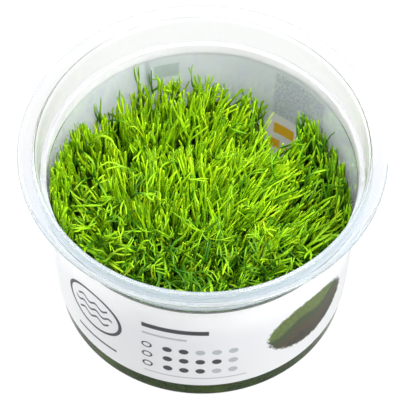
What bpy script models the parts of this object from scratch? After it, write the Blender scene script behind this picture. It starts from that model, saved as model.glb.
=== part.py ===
"""Crystalwort in its clear culture cup: a see-through cup with a flat rim, the paper label wrapped
round it, and the floating mat of crystalwort that fills it, with its forked tufts standing up.

Metres, +Z up. The origin is at the middle of the cup's foot, on the surface that it stands on,
and the front of the label looks along -Y.
"""

import math
import random

import bmesh
import bpy
from mathutils import Vector

# Driving dimensions of the cup
RIM_R = 0.0505
RIM_Z = 0.0625
MOUTH_R = 0.04565
RIM_THICK = 0.0009
RIM_STEP_R = 0.0489
RIM_STEP = 0.0005
WALL = 0.0006
FOOT_R = 0.0413
FOOT_CORNER = 0.0026
FOOT_RING = 0.0045
FOOT_RECESS = 0.0008
FLOOR = 0.0009
TAPER = 0.0486
STEP_Z = 0.0529
STEP_R = 0.0450
BEAD = 0.00035
ROUND_STEPS = 64

# The label, a cone wrapped round the tapered wall between these heights
LABEL_LOW = 0.0073
LABEL_TOP = 0.0493
LABEL_THICK = 0.00015
LABEL_STEPS = 72
GAP = 0.0003

# The mat of crystalwort, and the tufts that grow out of its cells
PLANT_R = 0.0414
ROUND_SLACK = 0.0002
MAT_TOP = 0.0325
MAT_SLOPE = 0.05
MAT_SWELL = 0.0015
MAT_DIP = 0.0030
MAT_DIP_FROM_Y = -0.014
MAT_DIP_REACH = 0.018
TIPS_Z = 0.0435
TIPS_SLOPE = 0.085
TIPS_DOME = 0.0025
CELLS = 9
CELL_DRIFT = 0.055
SEED = 58
TALL_X = -0.0225
TALL_Y = 0.0345
TALL_RISE = 0.0115
TALL_REACH = 0.0050
SWEEP = 0.60
SWEEP_FROM_X = -0.010
FRONT_LEAN = 0.35
FRONT_FROM_Y = -0.015
WALL_CROWD = 0.35
UPRIGHT = 0.75
UPRIGHT_FROM_X = 0.022
UPRIGHT_FROM_Y = -0.002
UPRIGHT_REACH = 0.012

# How much the tufts vary, in shares of their length
LENGTHS = (0.86, 1.10)
DRIFT = 0.12
ARM_LENGTHS = (0.80, 1.00)
ARM_SPREADS = (0.08, 0.22)

# The gap in the mat at the back right, down which the label's inside is seen
HOLE_X = 0.023
HOLE_Y = 0.035
HOLE_REACH_X = 0.0065
HOLE_REACH_Y = 0.0095
HOLE_DEPTH = 0.0180
HOLE_EDGE = 0.15

# Hollows between the tufts, as (x, y, radius, depth)
HOLLOWS = (
    (-0.034, 0.011, 0.0045, 0.008),
    (-0.015, 0.018, 0.0045, 0.004),
    (-0.0105, 0.001, 0.0040, 0.006),
    (0.001, 0.005, 0.0040, 0.004),
    (0.006, -0.011, 0.0040, 0.005),
    (-0.001, -0.016, 0.0040, 0.005),
    (0.027, 0.016, 0.0050, 0.006),
    (0.008, -0.023, 0.0045, 0.005),
    (0.002, -0.031, 0.0060, 0.005),
)


def wall_r(z):
    """Outer radius of the cup's tapered wall below its step, at height z."""
    return FOOT_R + TAPER * (z - FOOT_CORNER)


def new_collection(name):
    group = bpy.data.collections.new(name)
    bpy.context.scene.collection.children.link(group)
    return group


def new_material(name, color, roughness, transmission=0.0):
    material = bpy.data.materials.new(name)
    material.use_nodes = True
    shader = material.node_tree.nodes["Principled BSDF"]
    shader.inputs["Base Color"].default_value = (*color, 1.0)
    shader.inputs["Roughness"].default_value = roughness
    shader.inputs["Metallic"].default_value = 0.0
    shader.inputs["Transmission Weight"].default_value = transmission
    return material


def link_object(name, data, group, material=None):
    item = bpy.data.objects.new(name, data)
    group.objects.link(item)
    if material:
        data.materials.append(material)
    return item


def corner(center_r, center_z, radius, start, end, steps):
    """Points of a round corner in the profile's plane, from one angle to the other in degrees."""
    points = []
    for i in range(steps + 1):
        angle = math.radians(start + (end - start) * i / steps)
        points.append((center_r + radius * math.cos(angle), center_z + radius * math.sin(angle)))
    return points


def turned(name, profile, steps, closed, group, material):
    """A ring or vessel turned about Z from a profile of (radius, height) points."""
    mesh = bpy.data.meshes.new(name)
    edges = [(i, i + 1) for i in range(len(profile) - 1)]
    if closed:
        edges.append((len(profile) - 1, 0))
    mesh.from_pydata([(r, 0.0, z) for r, z in profile], edges, [])
    item = link_object(name, mesh, group, material)
    screw = item.modifiers.new("turn", "SCREW")
    screw.axis = "Z"
    screw.steps = steps
    screw.render_steps = steps
    screw.use_merge_vertices = True
    screw.merge_threshold = 0.00001
    screw.use_smooth_shade = True
    return item


def cup_profile():
    """Half the cup's section, from the middle of its floor up inside, over the rim and down outside."""
    floor_z = FOOT_RECESS + FLOOR
    inner_corner = FOOT_CORNER - 0.0003
    inner_foot = wall_r(floor_z + inner_corner) - WALL
    points = [(0.0, floor_z)]
    points += corner(inner_foot - inner_corner, floor_z + inner_corner, inner_corner, -90, 0, 4)
    points += [
        (wall_r(STEP_Z) - WALL, STEP_Z),
        (wall_r(STEP_Z) - WALL + 0.0003, STEP_Z + 0.0004),
        (STEP_R - WALL + 0.0001, STEP_Z + 0.0006),
        (MOUTH_R - 0.0004, RIM_Z - 0.0012),
    ]
    points += corner(MOUTH_R + BEAD - 0.0001, RIM_Z - BEAD - 0.0002, BEAD, 160, 40, 3)
    points += [
        (MOUTH_R + 0.0009, RIM_Z - RIM_STEP),
        (RIM_STEP_R, RIM_Z - RIM_STEP),
        (RIM_STEP_R + 0.0004, RIM_Z),
    ]
    lip = RIM_THICK / 2
    points += corner(RIM_R - lip, RIM_Z - lip, lip, 90, -90, 4)
    points += [
        (RIM_STEP_R + 0.0002, RIM_Z - RIM_STEP - RIM_THICK),
        (MOUTH_R + 0.0009, RIM_Z - RIM_STEP - RIM_THICK),
        (MOUTH_R + 0.0004, RIM_Z - RIM_STEP - RIM_THICK - 0.0006),
        (STEP_R, STEP_Z + 0.0001),
        (STEP_R - 0.0004, STEP_Z - 0.0003),
        (wall_r(STEP_Z - 0.0005), STEP_Z - 0.0005),
        (wall_r(FOOT_CORNER), FOOT_CORNER),
    ]
    points += corner(FOOT_R - FOOT_CORNER, FOOT_CORNER, FOOT_CORNER, -18, -90, 4)
    points += [
        (FOOT_R - FOOT_CORNER - FOOT_RING, 0.0),
        (FOOT_R - FOOT_CORNER - FOOT_RING - 0.0008, FOOT_RECESS),
        (0.0, FOOT_RECESS),
    ]
    return points


def make_cup(group):
    material = new_material("clear_plastic", (0.86, 0.90, 0.96), 0.08, 0.9)
    return turned("cup", cup_profile(), ROUND_STEPS, False, group, material)


def make_label(group):
    """The wrapped label, a thin tapered sleeve that stands clear of the wall by the gap."""
    inner_low = wall_r(LABEL_LOW) + GAP
    inner_top = wall_r(LABEL_TOP) + GAP
    profile = [
        (inner_low, LABEL_LOW),
        (inner_top, LABEL_TOP),
        (inner_top + LABEL_THICK, LABEL_TOP),
        (inner_low + LABEL_THICK, LABEL_LOW),
    ]
    material = new_material("label_paper", (0.92, 0.93, 0.96), 0.45)
    return turned("label", profile, LABEL_STEPS, True, group, material)


def ramp(value, start, reach):
    """A straight rise from 0 at the start to 1 after the reach."""
    return min(1.0, max(0.0, (value - start) / reach))


def hole(x, y):
    """How far a place lies in the gap at the back right: 1 in its middle, 0 outside."""
    along = (x - HOLE_X) / HOLE_REACH_X
    across = (y - HOLE_Y) / HOLE_REACH_Y
    return math.exp(-((along * along + across * across) ** 1.5))


def mat_height(x, y):
    """Height of the mat at the roots of the tufts: uneven, lower behind the front, with the gap."""
    waves = math.sin(x * 210.0 + 0.6) * math.cos(y * 185.0 - 0.4)
    dip = MAT_DIP * ramp(y, MAT_DIP_FROM_Y, MAT_DIP_REACH) + HOLE_DEPTH * hole(x, y)
    return MAT_TOP - dip - MAT_SLOPE * x + MAT_SWELL * waves


def tip_height(x, y):
    """Height of the tufts' tips: domed, higher at the left, lower in the hollows, with one tall tuft."""
    height = TIPS_Z - TIPS_DOME * (x * x + y * y) / PLANT_R**2 - TIPS_SLOPE * x
    away = math.hypot(x - TALL_X, y - TALL_Y) / TALL_REACH
    height += TALL_RISE * math.exp(-away * away)
    for hollow_x, hollow_y, radius, depth in HOLLOWS:
        away = math.hypot(x - hollow_x, y - hollow_y) / radius
        height -= depth * math.exp(-away * away)
    return height


def lean(x, y):
    """How far the tufts lean for each unit of rise: upright at the left and the back, sweeping
    out towards the right but for its back, outwards at the front, and held back by the wall."""
    upright = ramp(x, UPRIGHT_FROM_X, UPRIGHT_REACH) * ramp(y, UPRIGHT_FROM_Y, UPRIGHT_REACH)
    sweep = max(0.0, x - SWEEP_FROM_X) / PLANT_R * (1.0 - UPRIGHT * upright)
    front = max(0.0, FRONT_FROM_Y - y) / PLANT_R
    crowd = WALL_CROWD * ((x * x + y * y) / PLANT_R**2) ** 2
    lean_x = SWEEP * sweep - 0.06 - crowd * x / PLANT_R
    lean_y = 0.10 * sweep - FRONT_LEAN * front + 0.05 - crowd * y / PLANT_R
    return Vector((lean_x, lean_y, 0.0))


def wall_limit(z):
    """Largest radius that the plant may reach at height z."""
    return wall_r(min(z, STEP_Z)) - WALL - GAP - ROUND_SLACK


def keep_inside(vertices):
    """Draws the vertices in where they would pass the cup's inner wall."""
    for vertex in vertices:
        reach = math.hypot(vertex.co.x, vertex.co.y)
        limit = wall_limit(vertex.co.z)
        if reach > limit:
            vertex.co.x *= limit / reach
            vertex.co.y *= limit / reach


def mat_cage():
    """The mat before its tufts: a grid of cells drawn into a disc, extruded down into a plug."""
    cage = bmesh.new()
    bmesh.ops.create_grid(cage, x_segments=CELLS, y_segments=CELLS, size=1.0)
    chance = random.Random(SEED)
    for vertex in cage.verts:
        u, v = vertex.co.x, vertex.co.y
        if not vertex.is_boundary:
            u += chance.uniform(-CELL_DRIFT, CELL_DRIFT)
            v += chance.uniform(-CELL_DRIFT, CELL_DRIFT)
        x = PLANT_R * u * math.sqrt(1.0 - v * v / 2.0)
        y = PLANT_R * v * math.sqrt(1.0 - u * u / 2.0)
        vertex.co = (x, y, mat_height(x, y))
    keep_inside(cage.verts)
    cells = list(cage.faces)
    rim = [edge for edge in cage.edges if edge.is_boundary]
    bottom = FOOT_RECESS + FLOOR + GAP
    for drop_z, inset in ((bottom + FOOT_CORNER, 0.0), (bottom, FOOT_CORNER)):
        grown = bmesh.ops.extrude_edge_only(cage, edges=rim)["geom"]
        rim = [item for item in grown if isinstance(item, bmesh.types.BMEdge)]
        for vertex in {vertex for edge in rim for vertex in edge.verts}:
            reach = math.hypot(vertex.co.x, vertex.co.y)
            radius = wall_limit(drop_z) - inset
            vertex.co = (vertex.co.x * radius / reach, vertex.co.y * radius / reach, drop_z)
    base = bmesh.ops.contextual_create(cage, geom=rim)["faces"]
    bmesh.ops.poke(cage, faces=base)
    bmesh.ops.recalc_face_normals(cage, faces=cage.faces)
    return cage, cells


def grow(cage, face, move, side, wide, thick):
    """Extrudes a face by a move, and scales it along its side direction and across it."""
    face = bmesh.ops.extrude_discrete_faces(cage, faces=[face])["faces"][0]
    middle = face.calc_center_median()
    across = Vector((-side.y, side.x, 0.0))
    for vertex in face.verts:
        arm = vertex.co - middle
        shift = side * arm.dot(side) * wide + across * arm.dot(across) * thick
        level = Vector((0.0, 0.0, arm.z * min(wide, thick)))
        vertex.co = middle + move + shift + level
    keep_inside(face.verts)
    return face


def halves(cage, face, side):
    """The two faces that a face parts into, across its side direction."""
    middle = face.calc_center_median()
    geometry = [face, *face.edges, *face.verts]
    parted = bmesh.ops.bisect_plane(cage, geom=geometry, plane_co=middle, plane_no=side)
    faces = [item for item in parted["geom"] if isinstance(item, bmesh.types.BMFace)]
    return sorted(faces, key=lambda item: (item.calc_center_median() - middle).dot(side))


def add_tuft(cage, cell, chance):
    """One tuft grown out of its cell: a stem that rises and parts in two blunt, flat arms."""
    root = cell.calc_center_median()
    length = (tip_height(root.x, root.y) - root.z) * chance.uniform(*LENGTHS)
    push = lean(root.x, root.y)
    push += Vector((chance.uniform(-DRIFT, DRIFT), chance.uniform(-DRIFT, DRIFT), 0.0))
    rise = Vector((push.x, push.y, 1.0))
    turn = chance.uniform(0.0, math.pi)
    side = Vector((math.cos(turn), math.sin(turn), 0.0))
    stem = grow(cage, cell, rise * length * 0.16, side, 0.92, 0.88)
    stem = grow(cage, stem, rise * length * 0.26, side, 0.88, 0.72)
    for face, hand in zip(halves(cage, stem, side), (-1.0, 1.0)):
        share = chance.uniform(*ARM_LENGTHS)
        spread = side * hand * chance.uniform(*ARM_SPREADS)
        arm = grow(cage, face, (rise + spread) * length * 0.34 * share, side, 0.72, 0.66)
        bend = spread * 0.9 + push * 0.35
        grow(cage, arm, (rise + bend) * length * 0.24 * share, side, 0.55, 0.55)


def make_crystalwort(group):
    """The plant, one piece: the tangled mat with every tuft grown out of it."""
    cage, cells = mat_cage()
    chance = random.Random(SEED + 1)
    for cell in cells:
        middle = cell.calc_center_median()
        if hole(middle.x, middle.y) < HOLE_EDGE:
            add_tuft(cage, cell, chance)
    mesh = bpy.data.meshes.new("crystalwort")
    cage.to_mesh(mesh)
    cage.free()
    material = new_material("crystalwort_green", (0.22, 0.45, 0.03), 0.55)
    return link_object("crystalwort", mesh, group, material)


def clear_scene():
    for item in list(bpy.data.objects):
        bpy.data.objects.remove(item, do_unlink=True)


def main():
    clear_scene()
    parts = new_collection("crystalwort_cup")
    make_cup(parts)
    make_label(parts)
    make_crystalwort(parts)


main()
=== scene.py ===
"""Crystalwort in its clear culture cup: the cup with its milky rim, the printed label wrapped round
it, the tangled mat and the thousands of forked fronds that grow out of it, the floor, the lights
and the camera. Metres, +Z up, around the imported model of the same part.
"""

import functools
import math

import bmesh
import bpy
import numpy as np
from bpy.props import FloatProperty, FloatVectorProperty, IntProperty, PointerProperty
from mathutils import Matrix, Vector, noise


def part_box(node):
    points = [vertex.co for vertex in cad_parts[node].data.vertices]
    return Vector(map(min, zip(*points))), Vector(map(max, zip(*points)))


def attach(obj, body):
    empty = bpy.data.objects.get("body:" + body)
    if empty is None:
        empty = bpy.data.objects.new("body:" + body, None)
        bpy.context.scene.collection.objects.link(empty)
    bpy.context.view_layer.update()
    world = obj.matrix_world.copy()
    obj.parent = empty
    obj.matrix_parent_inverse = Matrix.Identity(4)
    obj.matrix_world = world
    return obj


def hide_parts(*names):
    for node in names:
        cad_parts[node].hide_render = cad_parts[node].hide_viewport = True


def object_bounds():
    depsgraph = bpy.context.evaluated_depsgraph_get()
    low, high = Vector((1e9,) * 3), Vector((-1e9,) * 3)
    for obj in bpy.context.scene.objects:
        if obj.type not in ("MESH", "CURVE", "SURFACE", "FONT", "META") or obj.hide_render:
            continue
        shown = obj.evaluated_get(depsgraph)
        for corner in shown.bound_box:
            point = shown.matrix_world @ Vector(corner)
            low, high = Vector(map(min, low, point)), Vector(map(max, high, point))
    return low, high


bl_info = {
    "name": "Crystalwort Cup",
    "version": (1, 0, 0),
    "blender": (4, 5, 0),
    "location": "View3D > Sidebar > Crystalwort",
    "description": "Builds a culture cup full of crystalwort, frond by frond",
    "category": "Add Mesh",
}

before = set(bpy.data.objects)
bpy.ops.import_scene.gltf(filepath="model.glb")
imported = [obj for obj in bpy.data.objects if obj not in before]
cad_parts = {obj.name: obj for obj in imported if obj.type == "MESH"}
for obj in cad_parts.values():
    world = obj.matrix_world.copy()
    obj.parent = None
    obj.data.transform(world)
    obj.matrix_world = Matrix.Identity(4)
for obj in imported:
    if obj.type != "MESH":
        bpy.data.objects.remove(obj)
CAD_LOW, CAD_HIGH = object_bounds()
LABEL_LOW, LABEL_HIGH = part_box("label")
PLANT_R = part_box("crystalwort")[1].x
MM = 0.001

# The cup's section, as moulded
WALL = 0.6 * MM
FOOT_R = 41.3 * MM
FOOT_CORNER = 1.8 * MM
FOOT_RECESS = 0.8 * MM
# Inside this radius the foot doesn't touch the ground
STAND_R = 34.2 * MM
FLOOR = 0.9 * MM
# The cup's floor is lower, and thinner, in a ring beside the wall
RING_FLOOR = 0.7 * MM
RING_INNER_R = 35.2 * MM
INNER_CORNER = 1.4 * MM
TAPER = 0.0486
TAPER_FROM = 2.6 * MM
STEP_Z = 52.9 * MM
STEP_R = 45.0 * MM
MOUTH_R = 45.65 * MM
RIM_STEP_R = 48.9 * MM
RIM_STEP = 0.5 * MM
RIM_THICK = 0.9 * MM
BEAD = 0.35 * MM
# Above this height the plastic looks milky
MILKY_Z = 49.2 * MM
# Below this height the wet mat lies against the wall
FOOT_TOP = 8.4 * MM
# Edges that bend less than this look round
CREASE = math.radians(40.0)

# The cup's material slots
CLEAR, RIM, MILKY, FOOT, LIP, MILKY_INSIDE = range(6)
PLASTIC_IOR = 1.49
# The grey of the painted lines where the bead and the ledge bend the light at the sides
BENT_LIGHT_GREY = (0.52, 0.55, 0.57)

# How soft the edges of the label's print are, in millimetres
PRINT_SOFT = 0.12
# Millimetres along the label for each degree round the cup
ARC = 44.0 * math.pi / 180.0
# How far the lapped end lifts off the one below it, in thicknesses of the paper
LAP_LIFT = 1.3

# A frond's axis is sampled at this many steps between its root and its tip
AXIS_STEPS = 24
# A frond's size before it is laid, and the room that it keeps from the cup's wall
FROND_HEIGHT, FROND_WIDTH, FROND_THICK = 12.0 * MM, 1.0 * MM, 0.36 * MM
FROND_ROOM = 0.25 * MM
# The least that an axis of length 1 is taken to rise, so that a bent frond doesn't grow too long
LEAST_RISE = 0.40

# The frond models as (where it forks, how far its arms part, the shorter arm's share)
FROND_KINDS = (
    (1.0, 0.0, 1.0),
    (0.74, 0.75 * MM, 0.92),
    (0.58, 1.0 * MM, 0.85),
    (0.66, 0.7 * MM, 1.0),
    (0.48, 1.2 * MM, 0.75),
    (0.84, 0.6 * MM, 1.0),
)

# Changes of width up a frond's stem, up to its fork or up to its tip
FORKED_STEM = (1.20, 1.12, 1.05, 1.0, 1.06, 1.10)
SINGLE_STEM = (1.20, 1.12, 1.05, 0.98, 0.92, 0.78)

# The stages of a frond's arm as (share of its height, share of its spread, change of width)
ARM_STAGES = ((0.24, 0.55, 1.28), (0.28, 0.28, 1.0), (0.28, 0.12, 0.80), (0.20, 0.05, 0.45))

# The mat's courses from the foot up, in millimetres, and the rings inset into its top
MAT_COURSES = (0.3, 0.4, 0.6, 1.0, 1.6, 2.2, 2.6, 3.0, 3.2, 3.4)
MAT_RINGS = 18
MAT_RING = 2.05 * MM
# How far the soaked mat's side lies past the fronds' limit, and over what height it draws in
SOAKED_OUT = 0.68 * MM
SOAKED_FADE = 2.0 * MM

# The gap in the mat at the back right: its middle, and how far it reaches sideways and back
NOTCH_X, NOTCH_Y = 23.0 * MM, 35.0 * MM
NOTCH_WIDE, NOTCH_DEEP = 6.0 * MM, 8.5 * MM
# No frond crosses a slanted slot above it, which is open along the camera's line: its sides, how
# far back it starts, and the stretch that it takes across that line, in millimetres
GAP_SIDES = (19.6, 26.8)
GAP_FRONT = 18.0
GAP_STRETCH = (17.0, 23.8)
# Sine and cosine of the angle at which the camera looks down, the point that it aims at, and how
# far it is turned about its own line
LOOK_SINE, LOOK_COSINE = 0.826, 0.5635
AIM_X, AIM_Z = -0.67 * MM, 38.1 * MM
ROLL = math.radians(0.38)
# The lamps as (name, place in metres, width, share of the key light's power), and their aim
LAMPS = (
    ("key", (0.28, -0.18, 0.66), 0.28, 1.0),
    ("top_fill", (-0.25, -0.15, 0.75), 0.60, 0.5),
    ("left_fill", (-0.50, 0.20, 0.38), 0.50, 0.5),
)
LAMP_AIM = Vector((0.0, 0.0, 0.03))
# The floor's width, and the share of its light that is its own
FLOOR_SIZE = 40.0
FLOOR_GLOW = 0.93

# The dark hollows between the tufts, in millimetres, as (x, y, radius, depth)
HOLLOWS = (
    (-34.0, 11.0, 3.6, 8.0), (-15.0, 18.0, 4.5, 4.0), (-10.5, 1.0, 3.0, 7.0),
    (1.0, 5.0, 3.0, 4.0), (6.0, -11.0, 3.5, 5.0), (-1.0, -16.0, 4.0, 6.0),
    (27.0, 16.0, 4.5, 6.0), (12.0, 8.0, 3.0, 3.0), (-20.0, -14.0, 3.5, 4.0),
    (8.0, -23.0, 4.5, 6.0), (-9.0, -20.0, 3.5, 4.0), (36.0, 6.0, 3.0, 5.0),
    (24.0, -6.0, 3.5, 3.0), (2.0, -31.0, 6.0, 6.0),
)

# Tips of the tall fronds along the back and the walls, in millimetres
EDGE_TIPS = (
    (-19.6, 36.7, 53.0), (-15.2, 38.7, 46.2), (-12.4, 39.7, 42.1), (-8.0, 40.6, 43.0),
    (-2.4, 41.3, 41.2), (2.6, 41.3, 37.9), (5.5, 41.0, 38.0), (13.5, 39.1, 38.0),
    (-23.8, 34.1, 43.6), (-30.1, 28.7, 47.0), (-33.1, 25.2, 39.2), (-36.4, 20.2, 38.8),
    (-39.2, 13.9, 39.4), (-41.0, 5.0, 44.5), (30.6, 28.1, 38.9), (36.9, 19.2, 35.6),
    (-42.6, -3.0, 47.5), (-42.6, -8.0, 50.0), (-41.4, -13.5, 50.6), (-39.4, -18.5, 50.4),
    (-36.2, -24.0, 50.2), (-32.0, -29.4, 49.8), (41.6, -10.5, 45.0), (41.2, 3.6, 38.3),
    (17.9, 37.3, 34.7),
)


def size_property(name, description, default):
    """A setting in metres."""
    return FloatProperty(name=name, description=description, default=default, unit="LENGTH")


def angle_property(name, description, degrees):
    """A setting for an angle, whose default is given in degrees."""
    return FloatProperty(
        name=name, description=description, default=math.radians(degrees),
        subtype="ANGLE", unit="ROTATION",
    )


def color_property(name, description, default):
    """A setting for a colour."""
    return FloatVectorProperty(
        name=name, description=description, default=default, subtype="COLOR", size=3, min=0.0, max=1.0
    )


class CupSettings(bpy.types.PropertyGroup):
    """Size and look of the moulded cup"""

    rim_radius: size_property("Rim radius", "Outer radius of the flat rim", CAD_HIGH.x)
    rim_height: size_property("Rim height", "Height of the rim's top", CAD_HIGH.z)
    steps: IntProperty(name="Steps round", description="Faces round the cup", default=360, min=24)
    clear_tint: color_property("Clear tint", "Tint of the clear wall", (0.93, 0.96, 0.98))
    # The rim's darker, bluer tint: painted shade at the rim's front, and random patches on the lip
    rim_tone_and_shade: color_property("Rim tint", "Tint of the clear rim at the front", (0.83, 0.88, 0.94))
    rim_pale: color_property("Pale rim tint", "Tint of the clear rim at the back", (0.90, 0.90, 0.91))
    # The milky step's darker, bluer tint at its front: painted shade
    milky_front_shade: color_property("Milky tint", "Tint of the milky step under the rim", (0.75, 0.79, 0.84))


class LabelSettings(bpy.types.PropertyGroup):
    """Size and colours of the wrapped label"""

    low: size_property("Lower edge", "Height of the label's lower edge", LABEL_LOW.z)
    high: size_property("Upper edge", "Height of the label's upper edge", LABEL_HIGH.z)
    thickness: size_property("Thickness", "Thickness of the paper", 0.15 * MM)
    lap: angle_property("Lap", "Angle by which the ends lie over each other", 2.5)
    seam: angle_property("Seam", "Where the label's ends meet, from the front", -159.6)
    paper: color_property("Paper", "Colour of the label's outside", (0.90, 0.90, 0.93))
    inside: color_property("Inside", "Colour of the label's glued side", (0.97, 0.97, 0.985))


class PlantSettings(bpy.types.PropertyGroup):
    """Size, number and colours of the fronds"""

    clumps: IntProperty(name="Clumps", description="Clumps of fronds across the cup", default=15, min=4)
    mat_height: size_property("Mat height", "Height of the tangled mat in the middle", 26.0 * MM)
    tips_height: size_property("Tip height", "Height of the fronds' tips in the middle", 43.5 * MM)
    tip_color: color_property("Tips", "Colour of the young tips", (0.62, 0.90, 0.008))
    stem_color: color_property("Stems", "Colour of the fronds' middles", (0.41, 0.75, 0.005))
    root_color: color_property("Roots", "Colour of the shaded, older parts", (0.030, 0.140, 0.004))
    seed: IntProperty(name="Seed", description="Start of the random draws", default=7, min=0)


class StageSettings(bpy.types.PropertyGroup):
    """Camera and light"""

    distance: size_property("Distance", "From the camera to the cup", 0.700)
    elevation: angle_property("Elevation", "How far the camera looks down", 55.7)
    lens: FloatProperty(name="Lens", description="Focal length in millimetres", default=224.9, min=1.0)
    key_power: FloatProperty(
        name="Key light", description="Power of the light at the front right", default=8.5, unit="POWER"
    )


class Wire:
    """An output socket of a material's nodes. Arithmetic on it adds Math nodes, and add() any other."""

    def __init__(self, tree, socket=None):
        self.tree = tree
        self.socket = socket

    def add(self, kind, settings=None, sockets=None, out=0):
        """Adds a node: its settings first, then the values or links of its sockets."""
        node = self.tree.nodes.new("ShaderNode" + kind)
        for name, value in (settings or {}).items():
            setattr(node, name, value)
        for name, value in (sockets or {}).items():
            if isinstance(value, Wire):
                self.tree.links.new(value.socket, node.inputs[name])
            else:
                node.inputs[name].default_value = value
        return Wire(self.tree, node.outputs[out] if node.outputs else None)

    def out(self, name):
        """Another output of the same node."""
        return Wire(self.tree, self.socket.node.outputs[name])

    def part(self, name):
        """The X, Y or Z of this vector."""
        return self.add("SeparateXYZ", None, {"Vector": self}).out(name)

    def noise(self, scale, detail=2.0, **sockets):
        """Noise at this place."""
        return self.add("TexNoise", None, {"Vector": self, "Scale": scale, "Detail": detail, **sockets})

    def bump(self, strength, distance):
        """The tilt of a surface that has this height."""
        return self.add("Bump", None, {"Height": self, "Strength": strength, "Distance": distance})

    def math(self, operation, *values):
        """A Math node of that operation on the values."""
        return self.add("Math", {"operation": operation}, dict(enumerate(values)))

    def __add__(self, other):
        return self.math("ADD", self, other)

    __radd__ = __add__

    def __sub__(self, other):
        return self.math("SUBTRACT", self, other)

    def __rsub__(self, other):
        return self.math("SUBTRACT", other, self)

    def __mul__(self, other):
        return self.math("MULTIPLY", self, other)

    __rmul__ = __mul__

    def __truediv__(self, other):
        return self.math("DIVIDE", self, other)

    def __pow__(self, other):
        return self.math("POWER", self, other)

    def __abs__(self):
        return self.math("ABSOLUTE", self)

    def low(self, other):
        """The smaller of the two."""
        return self.math("MINIMUM", self, other)

    def high(self, other):
        """The larger of the two."""
        return self.math("MAXIMUM", self, other)

    def sine(self):
        return self.math("SINE", self)

    def step(self, start, end):
        """A smooth rise from 0 at start to 1 at end, or a fall where end is the smaller."""
        flip = start > end
        sockets = {"Value": self, "From Min": min(start, end), "From Max": max(start, end)}
        sockets["To Min"] = 1.0 if flip else 0.0
        sockets["To Max"] = 0.0 if flip else 1.0
        return self.add("MapRange", {"interpolation_type": "SMOOTHSTEP"}, sockets)

    def mix(self, first, second):
        """The first colour where this is 0, and the second where it is 1."""
        sockets = {0: self, 6: opaque(first), 7: opaque(second)}
        return self.add("Mix", {"data_type": "RGBA"}, sockets, 2)


class Tint:
    """A colour that changes over a thin surface, and the light that comes through it in that colour:
    a mix of plain Translucent shaders, in which only the shares change."""

    def __init__(self, place, color, through=None):
        self.color = color
        self.through = plain(place, "BsdfTranslucent", color if through is None else through)

    def lay(self, mask, color):
        """Lays a plain colour, or another tint, over this one where the mask is 1."""
        above = color if isinstance(color, Tint) else Tint(mask, color)
        self.color = mask.mix(self.color, above.color)
        self.through = blended(mask, self.through, above.through)
        return self


def opaque(color):
    """A colour with an alpha, or the wire that carries one."""
    return color if isinstance(color, Wire) else (*color, 1.0)


def scaled(color, factor):
    """A colour that is that much brighter or darker."""
    return tuple(min(1.0, channel * factor) for channel in color)


def plain(place, kind, color):
    """A shader of one colour."""
    return place.add(kind, None, {"Color": opaque(color)})


def blended(share, first, second):
    """A mix of two shaders, with the share of the second as a number or a mask."""
    return first.add("MixShader", None, {0: share, 1: first, 2: second})


def new_material(name):
    """An empty material, and the place on the piece from which its nodes are added."""
    material = bpy.data.materials.new(name)
    material.use_nodes = True
    material.node_tree.nodes.clear()
    return material, Wire(material.node_tree).add("TexCoord", out="Object")


def finished(material, shader):
    """The material, with a shader joined to its output."""
    shader.add("OutputMaterial", None, {"Surface": shader})
    return material


def from_axis(place):
    """The x and y of a place, and how far it lies from the cup's axis."""
    x, y = place.part("X"), place.part("Y")
    return x, y, (x * x + y * y) ** 0.5


def deselect_all():
    if bpy.context.mode != "OBJECT":
        bpy.ops.object.mode_set(mode="OBJECT")
    bpy.ops.object.select_all(action="DESELECT")


def name_piece(name):
    """Names the primitive that was just added, and its mesh."""
    piece = bpy.context.object
    piece.name = name
    piece.data.name = name
    return piece


def settle(piece):
    """Puts a finished piece's place into its mesh, so that its object sits at the origin."""
    deselect_all()
    piece.select_set(True)
    bpy.context.view_layer.objects.active = piece
    bpy.ops.object.transform_apply(location=True, rotation=True, scale=True)


def dress(piece, node):
    """Lets a finished piece ride on the model and stand for its node of it."""
    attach(piece, "root")
    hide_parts(node)


def extrude(rise, side=0.0):
    """Extrudes what is selected up, and to the side."""
    bpy.ops.mesh.extrude_region_move(TRANSFORM_OT_translate={"value": (side, 0.0, rise)})


def wall_r(z):
    """Outer radius of the cup's tapered wall at height z."""
    return FOOT_R + TAPER * (z - TAPER_FROM)


def corner(center_r, center_z, radius, start, end, steps):
    """Points of a round corner, from one angle to the other in degrees."""
    angles = [math.radians(start + (end - start) * i / steps) for i in range(steps + 1)]
    return [(center_r + radius * math.cos(a), center_z + radius * math.sin(a)) for a in angles]


def around(radius, height, *offsets):
    """Rings at offsets in millimetres from a radius and a height."""
    return [(radius + out * MM, height + up * MM) for out, up in offsets]


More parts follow.
